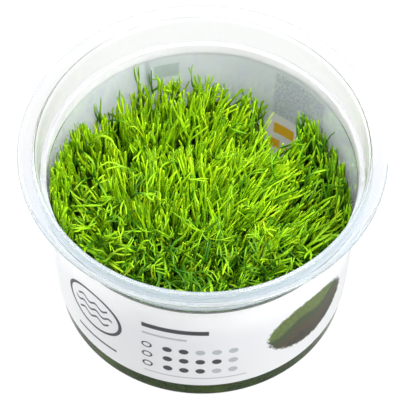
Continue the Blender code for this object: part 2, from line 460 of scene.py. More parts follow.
def cup_rings(cup):
    """The cup's rings as (radius, height), from its floor up inside, over the rim and down outside."""
    floor_z = FOOT_RECESS + FLOOR
    corner_z = RING_FLOOR + INNER_CORNER
    inner_foot = wall_r(corner_z) - WALL
    top_z = cup.rim_height
    flange_z = top_z - RIM_STEP
    under_z = flange_z - RIM_THICK
    lip = RIM_THICK / 2
    straight = [FOOT_CORNER + 3 * MM, FOOT_TOP, 16 * MM, 28 * MM, 40 * MM, MILKY_Z, STEP_Z - 1.2 * MM]
    rings = [(12 * MM, floor_z), (30 * MM, floor_z), (RING_INNER_R - 1.0 * MM, floor_z)]
    rings += around(RING_INNER_R, RING_FLOOR, (0.0, 0.0), (1.0, 0.0))
    rings += corner(inner_foot - INNER_CORNER, corner_z, INNER_CORNER, -90, 0, 8)
    rings += [(wall_r(height) - WALL, height) for height in straight]
    rings += around(wall_r(STEP_Z) - WALL, STEP_Z, (0.0, 0.0), (0.1, 0.25), (0.3, 0.4))
    rings += around(STEP_R - WALL, STEP_Z, (0.0, 0.5), (0.1, 0.7))
    rings += around(MOUTH_R, top_z, (-0.4, -1.2))
    rings += corner(MOUTH_R + BEAD - 0.1 * MM, top_z - BEAD - 0.15 * MM, BEAD, 165, 30, 6)
    rings += around(MOUTH_R, flange_z, (0.75, 0.05), (1.0, 0.0))
    rings += around(RIM_STEP_R, flange_z, (-0.15, 0.0), (0.05, 0.1))
    rings += around(RIM_STEP_R, top_z, (0.25, -0.1), (0.45, 0.0))
    rings += corner(cup.rim_radius - lip, top_z - lip, lip, 90, -90, 8)
    rings += around(RIM_STEP_R, under_z, (0.3, 0.1), (0.0, 0.0))
    rings += around(MOUTH_R, under_z, (1.0, 0.0), (0.6, -0.2), (0.4, -0.6))
    rings += around(STEP_R, STEP_Z, (0.05, 0.3), (-0.1, 0.0), (-0.5, -0.25))
    rings += around(wall_r(STEP_Z - 0.5 * MM), STEP_Z, (0.05, -0.5))
    rings += [(wall_r(height), height) for height in reversed(straight)]
    rings += [(wall_r(FOOT_CORNER), FOOT_CORNER)]
    rings += corner(wall_r(FOOT_CORNER) - FOOT_CORNER, FOOT_CORNER, FOOT_CORNER, -10, -90, 8)
    rings += around(STAND_R, 0.0, (0.0, 0.0), (-0.3, 0.1)) + [(STAND_R - 0.8 * MM, FOOT_RECESS)]
    rings += [(24 * MM, FOOT_RECESS), (12 * MM, FOOT_RECESS)]
    return rings


def turn_rings(name, rings, steps):
    """A closed turned shell: a circle extruded from ring to ring, with its two poles filled."""
    deselect_all()
    radius, height = rings[0]
    bpy.ops.mesh.primitive_circle_add(vertices=steps, radius=radius, location=(0.0, 0.0, height))
    piece = name_piece(name)
    bpy.ops.object.mode_set(mode="EDIT")
    bpy.ops.mesh.select_mode(type="EDGE")
    bpy.ops.mesh.select_all(action="SELECT")
    for (old_r, old_z), (new_r, new_z) in zip(rings, rings[1:]):
        extrude(new_z - old_z)
        bpy.ops.transform.resize(value=(new_r / old_r, new_r / old_r, 1.0))
    bpy.ops.mesh.select_all(action="DESELECT")
    bpy.ops.mesh.select_non_manifold()
    bpy.ops.mesh.fill_holes(sides=0)
    bpy.ops.mesh.select_mode(type="FACE")
    bpy.ops.mesh.select_face_by_sides(number=4, type="GREATER")
    bpy.ops.mesh.poke()
    bpy.ops.object.mode_set(mode="OBJECT")
    settle(piece)
    return piece


def face_outwards(piece):
    """Flips every face if the closed shell came out inside out."""
    shell = bmesh.new()
    shell.from_mesh(piece.data)
    inverted = shell.calc_volume(signed=True) < 0.0
    shell.free()
    if inverted:
        piece.data.flip_normals()


def plastic(place, color, roughness, ior=PLASTIC_IOR, sockets=None):
    """A see-through plastic."""
    return place.add("BsdfPrincipled", None, {
        "Base Color": opaque(color), "Roughness": roughness, "IOR": ior, "Transmission Weight": 1.0,
        **(sockets or {}),
    })


def bent_light_line(x, radius, at, outer, inner):
    """A fine painted line of bent light round the cup at that radius, which fades towards its front and
    its back.
    """
    return abs(radius - at).step(outer, inner) * (abs(x) / radius) ** 3


def clear_plastic(cup):
    """The clear wall: see-through, smooth, with a faint haze in patches."""
    material, place = new_material("clear_plastic")
    haze = place.noise(45.0, 3.0)
    shader = plastic(place, cup.clear_tint, haze * 0.03, sockets={"Specular IOR Level": 0.2})
    return finished(material, shader)


def foot_plastic(cup):
    """The clear foot. Its IOR is low, because the wet mat lies against it, so that it hardly mirrors
    the pale floor and the green stays deep."""
    material, place = new_material("foot_plastic")
    haze = place.noise(70.0)
    return finished(material, plastic(place, cup.clear_tint, haze * 0.03, ior=1.12))


def rim_plastic(cup):
    """The flat rim, clear and glossy, with fine rings left by the mould. Its tint is darker and bluer at
    the front as painted shade, and a painted grey line marks the bead at the sides.
    """
    material, place = new_material("rim_plastic")
    x, y, radius = from_axis(place)
    rings = (radius * 5200.0).sine() * 0.5 + 0.5
    cloud = place.noise(25.0, 1.0)
    # Painted shade: the rim is tinted darker and bluer at the front, paler at the back
    color = (y + (cloud - 0.5) * 0.01).step(-26 * MM, 12 * MM).mix(cup.rim_tone_and_shade, cup.rim_pale)
    # Painted refraction: a fine grey line by the bead, at the sides
    bead = bent_light_line(x, radius, MOUTH_R + 0.12 * MM, 0.34 * MM, 0.16 * MM)
    shader = plastic(place, (bead * 0.12).mix(color, BENT_LIGHT_GREY), 0.02 + cloud * 0.02, sockets={
        "Specular IOR Level": 0.35, "Normal": rings.bump(0.015, 0.0002),
    })
    return finished(material, shader)


def milky_plastic(cup, name, clear_inside):
    """The thick stacking step under the rim, which scatters the light that passes it. Its tint is darker
    and bluer at the front, as painted shade. Inside the cup it is clear at the back, with a painted grey
    line where the ledge bends the light at the sides."""
    material, place = new_material(name)
    ahead = place.part("Y").step(6 * MM, -20 * MM)
    cloud = place.noise(80.0, 3.0)
    # Painted shade: the darker milky tint at the front, the pale rim tint at the back
    haze = Tint(place, cup.milky_front_shade).lay(cloud.step(0.35, 0.7), scaled(cup.milky_front_shade, 1.06))
    tint = Tint(place, cup.rim_pale).lay(ahead, haze)
    milky = plastic(place, tint.color, 0.12 + cloud * 0.08, sockets={"Transmission Weight": 0.40})
    shader = blended(0.45, milky, tint.through)
    if clear_inside:
        x, _, radius = from_axis(place)
        # Painted refraction: a fine grey line on the ledge, at the sides
        ledge = bent_light_line(x, radius, STEP_R - WALL - 0.2 * MM, 0.34 * MM, 0.20 * MM)
        clear = plastic(place, (ledge * 0.6).mix(cup.rim_pale, BENT_LIGHT_GREY), 0.02 + cloud * 0.03, ior=1.40)
        shader = blended(ahead, clear, shader)
    return finished(material, shader)


def lip_plastic(cup):
    """The top of the rim's raised lip, whose edge gathers light."""
    material, place = new_material("lip_plastic")
    cloud = place.noise(80.0, 3.0)
    tint = Tint(place, cup.rim_tone_and_shade).lay(cloud.step(0.35, 0.7), cup.rim_pale)
    clear = plastic(place, tint.color, 0.06 + cloud * 0.04, sockets={"Transmission Weight": 0.90})
    return finished(material, blended(0.30, clear, tint.through))


def cup_slot(face):
    """The material slot of one of the cup's faces, by its place and the way it looks."""
    reach = math.hypot(face.center.x, face.center.y)
    if reach > RIM_STEP_R + 0.2 * MM and face.normal.z > 0.8:
        return LIP
    if face.center.z < FOOT_TOP:
        return FOOT
    if face.center.z <= MILKY_Z:
        return CLEAR
    if reach > MOUTH_R - 0.5 * MM:
        return RIM
    outwards = face.normal.x * face.center.x + face.normal.y * face.center.y > 0.0
    return MILKY if outwards and face.normal.z <= 0.5 else MILKY_INSIDE


class CRYSTALWORT_OT_cup(bpy.types.Operator):
    """Make the moulded cup with its foot, tapered wall, stacking step, bead and flat rim"""

    bl_idname = "crystalwort.cup"
    bl_label = "Cup"

    def execute(self, context):
        cup = context.scene.crystalwort_cup
        piece = turn_rings("culture_cup", cup_rings(cup), cup.steps)
        face_outwards(piece)
        bpy.ops.object.shade_smooth_by_angle(angle=CREASE)
        finishes = {
            CLEAR: clear_plastic(cup),
            RIM: rim_plastic(cup),
            MILKY: milky_plastic(cup, "milky_plastic", clear_inside=False),
            FOOT: foot_plastic(cup),
            LIP: lip_plastic(cup),
            MILKY_INSIDE: milky_plastic(cup, "milky_inside", clear_inside=True),
        }
        for slot in sorted(finishes):
            piece.data.materials.append(finishes[slot])
        for face in piece.data.polygons:
            face.material_index = cup_slot(face)
        dress(piece, "cup")
        return {"FINISHED"}


def label_spread(label):
    """Length of the label's sheet, measured at the middle of its height."""
    middle = (label.low + label.high) / 2
    return (wall_r(middle) + label.thickness) * (2 * math.pi + label.lap)


def bent_round(label, gap, across, height):
    """Where a point of the flat label lies once it is wrapped, across being 0 to 1 along the sheet."""
    sweep = 2 * math.pi + label.lap
    angle = label.seam + across * sweep
    rise = min(1.0, max(0.0, (across * sweep - 2 * math.pi + label.lap) / label.lap))
    lift = LAP_LIFT * label.thickness * rise * rise * (3 - 2 * rise)
    radius = wall_r(height) + gap + label.thickness + lift
    return Vector((radius * math.sin(angle), -radius * math.cos(angle), height))


class Print:
    """Distances on the label's own UV map, in millimetres from the middle of its front."""

    def __init__(self, place, label):
        uv = place.add("UVMap", {"uv_map": "UVMap"})
        spread = label_spread(label) / MM
        start = label.seam / (2 * math.pi + label.lap) * spread
        self.along = uv.part("X") * spread + start
        self.up = uv.part("Y") * ((label.high - label.low) / MM) + label.low / MM
        self.flat = place.add("CombineXYZ", None, {"X": self.along, "Y": self.up})

    def away(self, along, up):
        """Distance from a point of the label."""
        dx, dy = self.along - along, self.up - up
        return (dx * dx + dy * dy) ** 0.5

    def disc(self, along, up, radius):
        """A round spot: 1 inside, 0 outside."""
        return self.away(along, up).step(radius + PRINT_SOFT, radius - PRINT_SOFT)

    def line(self, distance, width):
        """A line of that width where the distance from it is 0."""
        return abs(distance).step(width / 2 + PRINT_SOFT, width / 2 - PRINT_SOFT)

    def ring(self, along, up, radius, width):
        """A circle drawn with a line of that width."""
        return self.line(self.away(along, up) - radius, width)

    def block(self, left, right, low, high, soft=PRINT_SOFT):
        """A plain rectangle."""
        inside = (self.along - left).low(right - self.along).low((self.up - low).low(high - self.up))
        return inside.step(-soft, soft)

    def field(self, start, end, low, high, soft):
        """A rectangle between two angles round the cup, in degrees from the front."""
        return self.block(start * ARC, end * ARC, low, high, soft)

    def waves(self, left, right, up, width, height, length):
        """A wavy line between two places along the label."""
        swing = (self.along * (2 * math.pi / length)).sine() * height
        ends = (self.along - left).low(right - self.along).step(-PRINT_SOFT, PRINT_SOFT)
        return self.line(self.up - up - swing, width) * ends


def label_emblem(art):
    """A ring with three waves in it and a bar below it, at the left of the front."""
    middle, up = -33.0, 29.5
    mark = art.ring(middle, up, 9.6, 1.1)
    for row, half in enumerate((5.6, 7.0, 5.6)):
        mark = mark.high(art.waves(middle - half, middle + half, up + 3.6 - 3.6 * row, 1.0, 0.8, 4.7))
    return mark.high(art.block(middle - 7.5, middle + 7.5, 13.2, 14.2))


def label_ratings(art):
    """Three rows of five dots, as such labels rate light, growth and water, under a plain bar: the
    dark marks, and the pale ones."""
    mark = art.block(-16.5, 2.0, 36.4, 38.6)
    pale = art.block(-16.5, -4.0, 32.6, 33.6)
    for row, full in enumerate((2, 4, 3)):
        up = 26.5 - 5.4 * row
        for i in range(5):
            spot = art.disc(-9.5 + 4.6 * i, up, 1.35)
            if i < full:
                mark = mark.high(spot)
            else:
                pale = pale.high(spot)
        mark = mark.high(art.ring(-15.4, up, 1.3, 0.55))
    return mark, pale.high(art.block(-16.5, 13.0, 11.2, 11.7))


def label_slopes(art):
    """An oval patch of layered slopes in olive, green and brown, at the right of the front: where it
    lies, and its colour."""
    middle, middle_up, half_wide, half_high = 33.0, 26.0, 14.0, 11.0
    along, up = art.along - middle, art.up - middle_up
    grain = art.flat.noise(0.9, 4.0, Roughness=0.65)
    rough = grain - 0.5
    edge = (along * along * (1 / half_wide**2) + up * up * (1 / half_high**2)) ** 0.5 + rough * 0.35
    height = up + (along * 0.42).sine() * 1.6 + rough * 6.0 - along * 0.25
    color = height.step(-6.5, -4.5).mix((0.030, 0.020, 0.012), (0.075, 0.040, 0.016))
    color = height.step(-2.2, -0.6).mix(color, (0.035, 0.062, 0.014))
    color = height.step(2.2, 4.4).mix(color, (0.150, 0.230, 0.035))
    color = grain.step(0.42, 0.72).mix(color, (0.060, 0.075, 0.020))
    return edge.step(1.04, 0.96), color


def label_front(label):
    """The printed outside: satin white paper with a few plain marks."""
    material, place = new_material("label_print")
    art = Print(place, label)
    fibre, cloud = place.noise(2400.0, 3.0), place.noise(40.0)
    white = cloud.step(0.3, 0.8).mix(label.paper, scaled(label.paper, 0.965))
    paper = Tint(place, white, through=scaled(label.paper, 0.985))
    # Painted light: the paper is brighter towards its top
    paper.lay(art.up.step(30.0, 48.0), scaled(label.paper, 1.10))
    inside, slopes = label_slopes(art)
    paper.lay(inside, Tint(place, slopes, through=(0.070, 0.095, 0.020)))
    mark, pale = label_ratings(art)
    paper.lay(pale * 0.8, (0.42, 0.45, 0.48))
    # Painted shade: a dark line along the label's top edge, for the shaded gap between it and the step
    top = label.high / MM
    paper.lay(art.up.step(top - 0.75, top - 0.55) * 0.9, (0.16, 0.175, 0.16))
    ink = mark.high(label_emblem(art))
    paper.lay(ink, (0.030, 0.034, 0.040))
    satin = place.add("BsdfPrincipled", None, {
        "Base Color": paper.color,
        "Roughness": 0.36 + cloud * 0.08 - ink * 0.06,
        "Normal": fibre.bump(0.08, 0.0001),
    })
    return finished(material, blended(0.40, satin, paper.through))


def label_back(label):
    """The glued side, seen through the wall: grey, darker and greener towards the bottom as painted
    shade, with plain printed fields showing through.
    """
    material, place = new_material("label_inside")
    art = Print(place, label)
    cloud = place.noise(60.0, 3.0)
    deep = tuple(channel * factor for channel, factor in zip(label.inside, (0.86, 0.95, 0.82)))
    # Painted shade: darker and greener towards the bottom, among the fronds
    paper = Tint(place, label.inside).lay(art.up.step(44.0, 18.0), deep)
    paper.lay(cloud.step(0.3, 0.8) * 0.25, deep)
    paper.lay(art.field(183.6, 193.2, 39.9, 45.4, 0.4) * 0.42, (0.30, 0.42, 0.34))
    specks = art.flat.noise(1.3, 3.0, Roughness=0.7).step(0.36, 0.60)
    paper.lay(art.field(123.4, 146.8, 27.0, 47.0, 0.6) * specks * 0.42, (0.26, 0.31, 0.36))
    patch = art.field(126.0, 148.6, 8.0, 28.8, 0.3)
    paper.lay(patch * 0.95, (1.0, 0.99, 0.88))
    bars = art.field(136.8, 146.0, 20.4, 25.0, 0.3)
    for bar in ((142.9, 147.3, 13.6, 17.6), (128.0, 140.0, 11.0, 16.0)):
        bars = bars.high(art.field(*bar, 0.3))
    paper.lay(bars * 0.97, (1.0, 0.62, 0.01))
    matt = place.add("BsdfPrincipled", None, {"Base Color": paper.color, "Roughness": 0.55})
    return finished(material, blended(0.5 + patch * 0.42, matt, paper.through))


class CRYSTALWORT_OT_label(bpy.types.Operator):
    """Make the paper label: a flat sheet bent round the cup's tapered wall, with a lapped seam"""

    bl_idname = "crystalwort.label"
    bl_label = "Label"

    def execute(self, context):
        label = context.scene.crystalwort_label
        gap = LABEL_HIGH.x - wall_r(label.high) - label.thickness
        deselect_all()
        bpy.ops.mesh.primitive_grid_add(x_subdivisions=300, y_subdivisions=8, size=1.0)
        piece = name_piece("wrapped_label")
        for vertex in piece.data.vertices:
            height = label.low + (vertex.co.y + 0.5) * (label.high - label.low)
            vertex.co = bent_round(label, gap, vertex.co.x + 0.5, height)
        piece.data.materials.append(label_front(label))
        piece.data.materials.append(label_back(label))
        paper = piece.modifiers.new("paper", "SOLIDIFY")
        paper.thickness = label.thickness
        paper.offset = -1.0
        paper.material_offset = 1
        bpy.ops.object.modifier_apply(modifier="paper")
        bpy.ops.object.shade_smooth_by_angle(angle=CREASE)
        dress(piece, "label")
        return {"FINISHED"}


def ramp(value, start, width):
    """A rise from 0 to 1 that begins at start and takes that width in millimetres. With a width
    below 0 it rises the other way."""
    return np.clip((value - start * MM) / (width * MM), 0.0, 1.0)


def notch(x, y):
    """How far a place lies in the gap at the plant's back right: 1 in its middle, 0 outside."""
    wide = (x - NOTCH_X) / NOTCH_WIDE
    deep = (y - NOTCH_Y) / NOTCH_DEEP
    return np.exp(-((wide * wide + deep * deep) ** 1.5))


def in_gap(points):
    """Whether points lie in the slanted gap, which leaves the label's inside in sight."""
    x, y, z = (points[..., i] for i in range(3))
    seen_at = LOOK_SINE * y + LOOK_COSINE * (z - AIM_Z)
    beside = (x > GAP_SIDES[0] * MM) & (x < GAP_SIDES[1] * MM) & (y > GAP_FRONT * MM)
    return beside & (seen_at > GAP_STRETCH[0] * MM) & (seen_at < GAP_STRETCH[1] * MM)


def hollows(x, y):
    """How far the fronds stand lower in the dark hollows between the tufts."""
    depth = np.zeros_like(x)
    for hollow_x, hollow_y, radius, deep in HOLLOWS:
        away = np.hypot(x - hollow_x * MM, y - hollow_y * MM) / (radius * MM)
        depth = depth + deep * MM * np.exp(-away * away)
    return depth


def mat_top(plant, x, y):
    """Height of the tangled mat, uneven, with the gap at the back right."""
    swell = 1.4 * MM * np.sin(x * 210.0 + 0.6) * np.cos(y * 185.0 - 0.4)
    return plant.mat_height + 0.02 * y - 0.03 * x + swell - 18.0 * MM * notch(x, y)


def tip_top(plant, x, y):
    """Height of the fronds' tips: domed, higher at the left, and climbing the wall at the front left."""
    dome = 2.5 * MM * (x * x + y * y) / PLANT_R**2
    by_wall = ramp(np.hypot(x, y), 34, 7)
    front_left = ramp(y, 8, -12) * ramp(x, -4, -14)
    return plant.tips_height - dome - 0.085 * x + 5.5 * MM * by_wall * front_left


def shade(x, y):
    """How much darker the fronds are by the front wall and at the back right than elsewhere."""
    by_front = np.clip(-y / (66 * MM), -0.20, 0.62)
    return by_front + 0.50 * (ramp(x, 23, 7) * ramp(y, -6, 10))


def wall_limit(z):
    """Radius of the cup's inner wall at height z, less the room that a frond needs."""
    corner_z = RING_FLOOR + INNER_CORNER
    deep = np.clip(corner_z - z, 0.0, INNER_CORNER)
    rounding = INNER_CORNER - np.sqrt(INNER_CORNER * INNER_CORNER - deep * deep)
    return wall_r(np.clip(z, corner_z, STEP_Z)) - WALL - rounding - FROND_ROOM


def pressed_in(points, give):
    """Draws points in from the cup's wall, softly over the last stretch before it."""
    reach = np.hypot(points[..., 0], points[..., 1])
    limit = wall_limit(points[..., 2])
    start = limit - give
    past = np.maximum(reach - start, 0.0)
    eased = np.where(past > 0.0, start + give * (1.0 - np.exp(-past / give)), reach)
    share = eased / np.maximum(reach, 1e-9)
    points[..., 0] *= share
    points[..., 1] *= share
    return points


@functools.lru_cache(maxsize=None)
def frond_model(fork, spread, uneven):
    """One frond, modelled upright along Z from its root, as vertices and faces. It parts in two arms
    at the share `fork` of its height, unless that is 1."""
    deselect_all()
    bpy.ops.mesh.primitive_plane_add(size=1.0, location=(0.0, 0.0, 0.0))
    piece = name_piece("frond_model")
    bpy.ops.object.mode_set(mode="EDIT")
    bpy.ops.mesh.select_mode(type="FACE")
    bpy.ops.transform.resize(value=(FROND_WIDTH * 0.60, FROND_THICK, 1.0))
    stem = FORKED_STEM if fork < 1.0 else SINGLE_STEM
    for wider in stem:
        grow_face(0.0, fork * FROND_HEIGHT / len(stem), wider, 1.0)
    if fork < 1.0:
        bpy.ops.mesh.bisect(plane_co=(0.0, 0.0, 0.0), plane_no=(1.0, 0.0, 0.0))
        for hand in (-1.0, 1.0):
            select_level(lambda face: face.calc_center_median().x * hand > 0.0, fork * FROND_HEIGHT)
            arm = (1.0 - fork) * FROND_HEIGHT * (1.0 if hand > 0.0 else uneven)
            for share, move, wider in ARM_STAGES:
                grow_face(hand * spread * move, arm * share, wider, 0.85)
    else:
        grow_face(0.0, 0.06 * FROND_HEIGHT, 0.5, 0.6)
    bpy.ops.object.mode_set(mode="OBJECT")
    mesh = piece.data
    points = np.array([vertex.co for vertex in mesh.vertices])
    faces = [tuple(face.vertices) for face in mesh.polygons]
    bpy.data.objects.remove(piece, do_unlink=True)
    bpy.data.meshes.remove(mesh)
    return points, faces


def grow_face(side, rise, wider, thicker):
    """Extrudes the selected face by a move and scales it about its middle."""
    extrude(rise, side)
    mesh = bmesh.from_edit_mesh(bpy.context.object.data)
    middle = [face for face in mesh.faces if face.select][0].calc_center_median()
    for vertex in {vertex for face in mesh.faces if face.select for vertex in face.verts}:
        vertex.co.x = middle.x + (vertex.co.x - middle.x) * wider
        vertex.co.y = middle.y + (vertex.co.y - middle.y) * thicker
    bmesh.update_edit_mesh(bpy.context.object.data)


def select_level(wanted, height):
    """Selects the faces that lie flat at a height and fit the wanted side."""
    mesh = bmesh.from_edit_mesh(bpy.context.object.data)
    for face in mesh.faces:
        flat = abs(face.normal.z) > 0.9 and abs(face.calc_center_median().z - height) < 0.01 * MM
        face.select_set(flat and wanted(face))
    mesh.select_flush_mode()
    bmesh.update_edit_mesh(bpy.context.object.data)


def unit(vectors):
    """The vectors' directions, with length 1."""
    return vectors / np.maximum(np.linalg.norm(vectors, axis=-1, keepdims=True), 1e-9)


class Thicket:
    """Fronds that are laid along their own curved axes and joined in one mesh."""

    def __init__(self, chance):
        self.chance = chance
        self.models = [frond_model(*kind) for kind in FROND_KINDS]
        self.points = []
        self.faces = []
        self.growth = []
        self.count = 0

    def lay(self, ends, first, last, lengths=None, rises=None, from_root=False, wave=0.1, width=1.0,
            darkening=0.0, give=2.0 * MM, forked=0.75):
        """Adds a frond for each end, which is its tip, or its root where from_root is set. first and
        last are its directions at its root and its tip. Its length follows from its rise if given."""
        chance = self.chance
        count = len(ends)
        axis, direction = self.axes(first, last, wave)
        if lengths is None:
            lengths = rises / np.maximum(axis[:, -1, 2], LEAST_RISE)
        axis = axis * np.reshape(lengths, (count, 1, 1))
        axis = axis + (ends[:, None] if from_root else ends[:, None] - axis[:, -1:])
        clear = ~in_gap(axis).any(axis=1)
        flat = unit(chance.normal(0.0, 1.0, (count, 1, 3)) * (1.0, 1.0, 0.35))
        twist = chance.normal(0.0, 0.9, (count, 1))
        wide = np.reshape(width * chance.uniform(0.80, 1.20, count), (count, 1, 1))
        forks = chance.uniform(0.0, 1.0, count) < forked
        choice = np.where(forks, chance.integers(1, len(self.models), count), 0)
        # Painted shade: how far each frond's colours are darkened towards the older ones
        frond_darkening = np.broadcast_to(darkening, count)
        luck = chance.uniform(0.0, 1.0, count)
        for kind, (model, faces) in enumerate(self.models):
            chosen = np.nonzero((choice == kind) & clear)[0]
            share = model[:, 2] / model[:, 2].max()
            index = np.minimum((share * AXIS_STEPS).astype(int), AXIS_STEPS - 1)
            part = (share * AXIS_STEPS - index)[None, :, None]
            point, along = (
                curve[chosen][:, index] * (1.0 - part) + curve[chosen][:, index + 1] * part
                for curve in (axis, direction)
            )
            along = unit(along)
            side = unit(flat[chosen] - along * np.sum(flat[chosen] * along, axis=2, keepdims=True))
            across = np.cross(along, side)
            angle = (twist[chosen] * share[None, :])[..., None]
            turned = side * np.cos(angle) + across * np.sin(angle)
            across = across * np.cos(angle) - side * np.sin(angle)
            point = point + (turned * model[None, :, 0:1] + across * model[None, :, 1:2]) * wide[chosen]
            growth = np.ones((len(chosen), len(model), 4))
            growth[..., 0] = share[None, :]
            growth[..., 1] = luck[chosen][:, None]
            growth[..., 2] = frond_darkening[chosen][:, None]
            self.keep(pressed_in(point, give), faces, growth)

    def axes(self, first, last, wave):
        """Curved axes of length 1 from the origin, and their directions, sampled at equal steps."""
        count = len(first)
        steps = np.linspace(0.0, 1.0, AXIS_STEPS + 1)[None, :, None]
        phase = self.chance.uniform(0.0, 2 * math.pi, (count, 1, 3))
        pace = self.chance.uniform(3.0, 8.0, (count, 1, 1))
        direction = first[:, None] * (1.0 - steps) + last[:, None] * steps
        direction = unit(direction + wave * np.sin(phase + pace * steps))
        middle = (direction[:, 1:] + direction[:, :-1]) / (2 * AXIS_STEPS)
        return np.concatenate((np.zeros((count, 1, 3)), np.cumsum(middle, axis=1)), axis=1), direction

    def keep(self, points, faces, growth):
        """Adds copies of one model's faces on these points, one copy for each row."""
        copies, size = points.shape[:2]
        for i in range(copies):
            start = self.count + i * size
            self.faces.extend([tuple(start + point for point in face) for face in faces])
        self.count += copies * size
        self.points.append(points.reshape(-1, 3))
        self.growth.append(growth.reshape(-1, 4))

    def join(self, name, material):
        """The joined mesh as a finished piece."""
        mesh = bpy.data.meshes.new(name)
        mesh.from_pydata(np.concatenate(self.points).tolist(), [], self.faces)
        growth = mesh.color_attributes.new("growth", "FLOAT_COLOR", "POINT")
        growth.data.foreach_set("color", np.concatenate(self.growth).ravel())
        mesh.shade_smooth()
        mesh.materials.append(material)
        piece = bpy.data.objects.new(name, mesh)
        bpy.context.scene.collection.objects.link(piece)
        dress(piece, "crystalwort")
        return piece


def frond_lean(x, y):
    """How far the fronds lean for each unit of rise, by the place of their tips: upright at the back
    and the left, swept out more and more to the right, and out over the rim at the front."""
    sweep = np.clip((x + 13 * MM) / (42 * MM), 0.0, 1.15)
    right = (0.42 * sweep + 0.38 * sweep * sweep) * (1.0 + 0.35 * ramp(y, -5, -20))
    back_right = ramp(x, 24, 10) * ramp(y, -2, 12)
    right = right * (1.0 - 0.75 * back_right)
    outward = 0.18 + 0.75 * ramp(y, 8, -22)
    left = outward * np.minimum((x + 13 * MM) / (29 * MM), 0.0)
    back = 0.24 - 0.14 * ramp(y, 20, 20)
    front = -0.40 * ramp(y, -14, -25)
    return np.stack((right + left, back + front), axis=-1)


def scattered(chance, count, reach):
    """Places on a jittered square grid of count by count, kept inside a disc of that radius."""
    step = 2 * reach / count
    across = (np.arange(count) + 0.5) * step - reach
    x, y = (part.ravel() for part in np.meshgrid(across, across))
    x = x + chance.uniform(-0.5, 0.5, len(x)) * step
    y = y + chance.uniform(-0.5, 0.5, len(y)) * step
    kept = np.hypot(x, y) < reach
    return x[kept], y[kept]


def aimed(leans):
    """Directions that lean so far for each unit of rise."""
    return unit(np.concatenate((leans, np.ones((len(leans), 1))), axis=1))


def outside_gap(x, y):
    """Whether fronds may stand at a place: not in the gap at the back right."""
    return notch(x, y) < 0.12


def lay_standing(thickets, plant, chance):
    """The fronds that make the plant's surface, in clumps that lean the same way, shared out over the
    thickets of the left, the right and the front."""
    x, y = scattered(chance, plant.clumps, PLANT_R - 0.5 * MM)
    members = chance.integers(4, 10, len(x))
    owner = np.repeat(np.arange(len(x)), members)
    off = chance.normal(0.0, 1.6 * MM, (len(owner), 2))
    tip_x, tip_y = x[owner] + off[:, 0], y[owner] + off[:, 1]
    lean = frond_lean(x, y) + chance.normal(0.0, 0.13, (len(x), 2))
    messy = np.clip((tip_x + 15 * MM) / (20 * MM), 0.35, 1.0)[:, None]
    lean = lean[owner] + off / MM * 0.03 + messy * chance.normal(0.0, 0.10, off.shape)
    crown = chance.uniform(-3.0, 2.2, len(x)) * MM
    tip_z = tip_top(plant, tip_x, tip_y) + crown[owner] - chance.exponential(2.0 * MM, len(owner))
    tip_z = tip_z - hollows(tip_x, tip_y)
    root = mat_top(plant, tip_x - 8 * MM * lean[:, 0], tip_y - 8 * MM * lean[:, 1]) - 1.0 * MM
    tips = np.stack((tip_x, tip_y, tip_z), axis=1)
    first = aimed(lean * 0.65 + chance.normal(0.0, 0.06, lean.shape))
    last = aimed(lean * 1.25 + messy * chance.normal(0.0, 0.22, lean.shape))
    rises = tip_z - root
    sparse = (tip_y < -16 * MM) & (chance.uniform(0.0, 1.0, len(owner)) < 0.45)
    kept = outside_gap(tip_x, tip_y) & (rises > 2.0 * MM) & ~sparse
    part = np.where(tip_y < -14 * MM, 2, np.where(tip_x < 0.0, 0, 1))
    # Painted shade: fronds by the front wall and at the back right are darker
    for number, thicket in enumerate(thickets):
        some = kept & (part == number)
        thicket.lay(tips[some], first[some], last[some], rises=rises[some], wave=0.11, width=0.80,
                    darkening=shade(tip_x[some], tip_y[some]), forked=0.5)


def lay_low(thicket, plant, chance):
    """Shorter, older fronds between the standing ones."""
    x, y = scattered(chance, 44, PLANT_R - 1.0 * MM)
    kept = outside_gap(x, y)
    x, y = x[kept], y[kept]
    root_z = mat_top(plant, x, y) - 1.0 * MM
    rises = (tip_top(plant, x, y) - root_z) * chance.uniform(0.35, 0.78, len(x))
    lean = frond_lean(x, y) * 0.8 + chance.normal(0.0, 0.18, (len(x), 2))
    roots = np.stack((x, y, root_z), axis=1)
    last = aimed(lean + chance.normal(0.0, 0.25, lean.shape))
    # The low fronds are darker throughout, and more by the front wall and at the back right as painted
    # shade
    thicket.lay(roots, aimed(lean), last, rises=rises, from_root=True, wave=0.12,
                darkening=0.35 + shade(x, y), forked=0.5)


def lay_wall(thicket, plant, chance, count, start, end, darkening, back, width, climb=0.0):
    """Upright fronds along the wall between two angles from the front, in degrees, leaning so far to
    the back, and climbing the wall in front of the middle."""
    angle = chance.uniform(math.radians(start), math.radians(end), count)
    radius = PLANT_R - chance.exponential(1.6 * MM, count)
    x, y = radius * np.sin(angle), -radius * np.cos(angle)
    climb = climb * np.clip(1.0 - y / (9 * MM), 0.0, 1.0)
    z = tip_top(plant, x, y) + climb + chance.normal(-0.5 * MM, 1.6 * MM, count)
    lean = np.stack((0.30 * np.cos(angle), np.full(count, back)), axis=1)
    lean = lean * chance.uniform(0.3, 1.1, (count, 1)) + chance.normal(0.0, 0.08, lean.shape)
    lengths = chance.uniform(10.0, 16.0, count) * MM
    thicket.lay(np.stack((x, y, z), axis=1), aimed(lean * 0.6), aimed(lean * 1.2), lengths=lengths,
                wave=0.10, give=1.0 * MM, darkening=darkening, width=width, forked=0.5)


